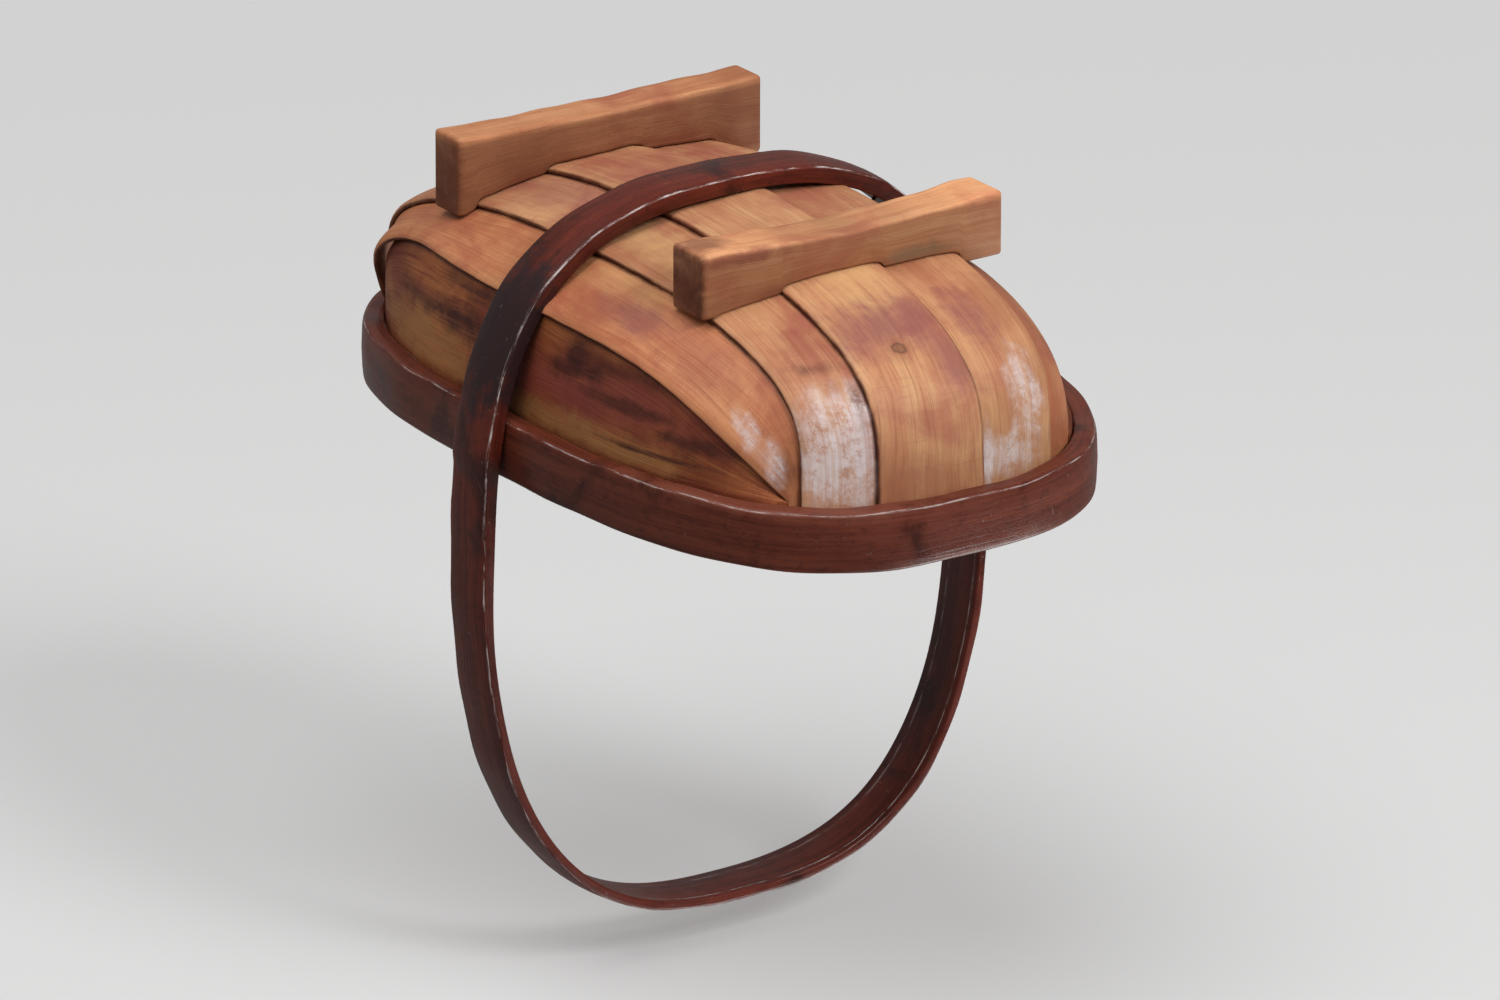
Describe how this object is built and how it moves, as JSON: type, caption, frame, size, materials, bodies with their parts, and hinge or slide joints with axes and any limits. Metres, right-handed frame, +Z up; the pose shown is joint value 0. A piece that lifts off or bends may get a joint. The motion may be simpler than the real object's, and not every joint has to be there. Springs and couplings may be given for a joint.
{
  "type": "garden trug",
  "caption": "Oval wooden trug basket: lapped thin boards inside a bent rim, a hooped strap handle over the top, and cross feet to stand on.",
  "frame": {"origin": "on the ground under the middle of the basket, halfway along and across its bounding box", "axes": "+Z up from the feet to the handle, +X along the basket towards its blunter end, +Y towards its left-hand side"},
  "size_m": [0.396, 0.2818, 0.3569],
  "materials": {
    "band_wood": "dark red-brown bent hardwood, satin, worn pale along its edges",
    "board_wood": "orange-tan willow board, satin, stained and bleached in patches",
    "foot_wood": "orange-tan sawn bar, satin, end grain darker",
    "nail_iron": "dark clout nail"
  },
  "bodies": {
    "root": {"rim": "band_wood", "handle": "band_wood", "side_board_right": "board_wood", "third_board_right": "board_wood", "second_board_right": "board_wood", "centre_board": "board_wood", "second_board_left": "board_wood", "third_board_left": "board_wood", "side_board_left": "board_wood", "foot_blunt_end": "foot_wood", "foot_narrow_end": "foot_wood", "nail_1": "nail_iron", "nail_2": "nail_iron", "nail_3": "nail_iron", "nail_4": "nail_iron", "nail_5": "nail_iron", "nail_6": "nail_iron", "nail_7": "nail_iron", "nail_8": "nail_iron", "nail_9": "nail_iron", "nail_10": "nail_iron", "nail_11": "nail_iron", "nail_12": "nail_iron", "nail_13": "nail_iron", "nail_14": "nail_iron", "nail_15": "nail_iron", "nail_16": "nail_iron", "nail_17": "nail_iron", "nail_18": "nail_iron", "nail_19": "nail_iron", "nail_20": "nail_iron", "nail_21": "nail_iron", "nail_22": "nail_iron", "nail_23": "nail_iron", "nail_24": "nail_iron", "nail_25": "nail_iron", "nail_26": "nail_iron", "nail_27": "nail_iron", "nail_28": "nail_iron", "nail_29": "nail_iron", "nail_30": "nail_iron", "nail_31": "nail_iron"}
  },
  "joints": []
}
